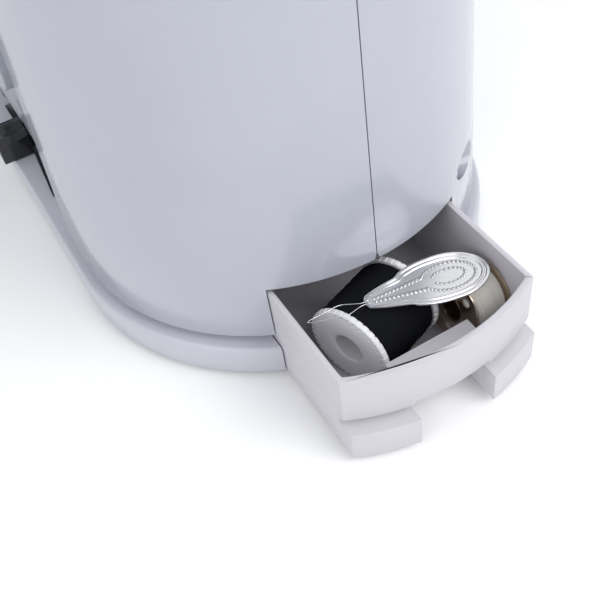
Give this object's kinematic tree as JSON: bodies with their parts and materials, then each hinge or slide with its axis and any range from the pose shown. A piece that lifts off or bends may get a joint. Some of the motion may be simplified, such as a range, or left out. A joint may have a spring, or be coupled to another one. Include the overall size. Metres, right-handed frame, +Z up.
{
  "type": "sewing machine",
  "caption": "Compact electric sewing machine with a shell casing, needle and shuttle drive, front speed slider and a pull-out accessory drawer in its round end.",
  "frame": {"origin": "middle of the footprint with the drawer open, on the table under the rubber feet", "axes": "+X to the right-hand end with the drawer and handwheel, +Y away from the operator, +Z up"},
  "size_m": [0.3165, 0.1339, 0.287],
  "materials": {
    "shell": "glossy white moulded casing",
    "base": "satin white moulded tray",
    "drawer": "satin white moulded drawer",
    "grey_plastic": "satin grey moulding",
    "black_plastic": "glossy black moulding",
    "rubber": "matt black rubber",
    "steel": "turned and stamped steel",
    "cast_alloy": "die-cast, grey",
    "chrome": "bright plated steel",
    "clear_plastic": "clear moulded plastic",
    "lens": "milky lamp lens",
    "spool_white": "satin white moulded reel",
    "black_thread": "wound sewing thread, black",
    "white_thread": "wound sewing thread, off-white",
    "plated_steel": "thin pressed steel with a warm nickel plate",
    "stamped_tin": "thin stamped sheet, bright"
  },
  "bodies": {
    "machine": {"base_tray": "base", "battery_cover": "base", "base_foot_1": "rubber", "base_foot_2": "rubber", "base_foot_3": "rubber", "base_foot_4": "rubber", "front_shell": "shell", "rear_shell": "shell", "casing_screw_1": "steel", "casing_screw_2": "steel", "casing_screw_3": "steel", "casing_screw_4": "steel", "machine_frame": "cast_alloy", "motor": "steel", "motor_bracket": "cast_alloy", "motor_belt": "rubber", "timing_belt": "rubber", "bobbin_case": "steel", "case_bobbin": "clear_plastic", "needle_plate": "chrome", "presser_spring": "steel", "head_lamp": "lens", "spool_pin": "grey_plastic", "thread_guide": "chrome", "power_jack": "black_plastic", "pedal_jack": "black_plastic"},
    "main_shaft": {"main_shaft": "steel", "drive_wheel": "grey_plastic", "upper_belt_wheel": "grey_plastic", "needle_crank": "steel", "handwheel": "shell"},
    "clutch_knob": {"clutch_knob": "grey_plastic"},
    "motor_pulley": {"motor_pulley": "steel"},
    "lower_shaft": {"lower_shaft": "steel", "lower_belt_wheel": "grey_plastic", "hook": "chrome"},
    "feed_dog": {"feed_dog": "steel"},
    "needle_bar": {"needle_bar": "steel", "crank_link": "cast_alloy", "needle_clamp": "steel", "clamp_screw": "chrome", "needle": "chrome"},
    "take_up_lever": {"take_up_lever": "chrome"},
    "presser_lifter": {"presser_lifter": "steel"},
    "presser_bar": {"presser_bar": "steel", "presser_foot": "chrome", "presser_screw": "chrome"},
    "bobbin_cover": {"bobbin_cover": "clear_plastic"},
    "stitch_dial": {"stitch_dial": "grey_plastic"},
    "tension_dial": {"tension_dial": "grey_plastic"},
    "reverse_button": {"reverse_button": "grey_plastic"},
    "speed_slider": {"speed_slider": "black_plastic"},
    "winder_spindle": {"winder_spindle": "grey_plastic"},
    "drawer": {"drawer": "drawer", "thread_spool": "spool_white", "spool_thread": "black_thread", "steel_bobbin": "plated_steel", "bobbin_thread": "white_thread", "threader_plate": "stamped_tin", "threader_wire": "chrome"}
  },
  "joints": [
    {"name": "handwheel_turn", "type": "hinge", "parent": "machine", "child": "main_shaft", "pos_m": [0, 0, 0.222], "axis": [1, 0, 0], "range_deg": [0, 180]},
    {"name": "clutch_turn", "type": "hinge", "parent": "main_shaft", "child": "clutch_knob", "pos_m": [0.138, 0, 0.222], "axis": [1, 0, 0], "range_deg": [-60, 0]},
    {"name": "motor_turn", "type": "hinge", "parent": "machine", "child": "motor_pulley", "pos_m": [0.086, 0.02, 0.12], "axis": [1, 0, 0], "range_deg": [0, 720]},
    {"name": "lower_shaft_turn", "type": "hinge", "parent": "machine", "child": "lower_shaft", "pos_m": [0, 0, 0.052], "axis": [1, 0, 0], "range_deg": [0, 360]},
    {"name": "feed_dog_rise", "type": "slide", "parent": "machine", "child": "feed_dog", "axis": [0, 0, 1], "range_m": [0, 0.0008]},
    {"name": "needle_stroke", "type": "slide", "parent": "machine", "child": "needle_bar", "axis": [0, 0, 1], "range_m": [-0.03, 0]},
    {"name": "take_up_swing", "type": "hinge", "parent": "machine", "child": "take_up_lever", "pos_m": [-0.108, -0.034, 0.205], "axis": [1, 0, 0], "range_deg": [0, 45]},
    {"name": "lifter_swing", "type": "hinge", "parent": "machine", "child": "presser_lifter", "pos_m": [-0.108, 0.03, 0.172], "axis": [1, 0, 0], "range_deg": [0, 50]},
    {"name": "presser_rise", "type": "slide", "parent": "machine", "child": "presser_bar", "axis": [0, 0, 1], "range_m": [0, 0.006]},
    {"name": "bobbin_cover_slide", "type": "slide", "parent": "machine", "child": "bobbin_cover", "axis": [1, 0, 0], "range_m": [-0.025, 0]},
    {"name": "stitch_select", "type": "hinge", "parent": "machine", "child": "stitch_dial", "pos_m": [-0.038, -0.06, 0.048], "axis": [0, -1, 0], "range_deg": [0, 330]},
    {"name": "tension_turn", "type": "hinge", "parent": "machine", "child": "tension_dial", "pos_m": [-0.132, -0.06, 0.222], "axis": [0, -1, 0], "range_deg": [0, 300]},
    {"name": "reverse_press", "type": "slide", "parent": "machine", "child": "reverse_button", "axis": [0, 1, 0], "range_m": [0, 0.0035]},
    {"name": "speed_slide", "type": "slide", "parent": "machine", "child": "speed_slider", "axis": [1, 0, 0], "range_m": [0, 0.018]},
    {"name": "winder_turn", "type": "hinge", "parent": "machine", "child": "winder_spindle", "pos_m": [0.096, -0.014, 0.27], "axis": [0, 0, 1], "continuous": true},
    {"name": "drawer_slide", "type": "slide", "parent": "machine", "child": "drawer", "axis": [1, 0, 0], "range_m": [-0.0325, 0.007]}
  ],
  "couplings": [
    {"joint": "motor_turn", "follows": "handwheel_turn", "ratio": 4},
    {"joint": "lower_shaft_turn", "follows": "handwheel_turn", "ratio": 2},
    {"joint": "feed_dog_rise", "follows": "handwheel_turn", "m_per_rad": 0.00025465},
    {"joint": "needle_stroke", "follows": "handwheel_turn", "m_per_rad": -0.0095493},
    {"joint": "take_up_swing", "follows": "handwheel_turn", "ratio": 0.25},
    {"joint": "presser_rise", "follows": "lifter_swing", "m_per_rad": 0.0068755}
  ]
}
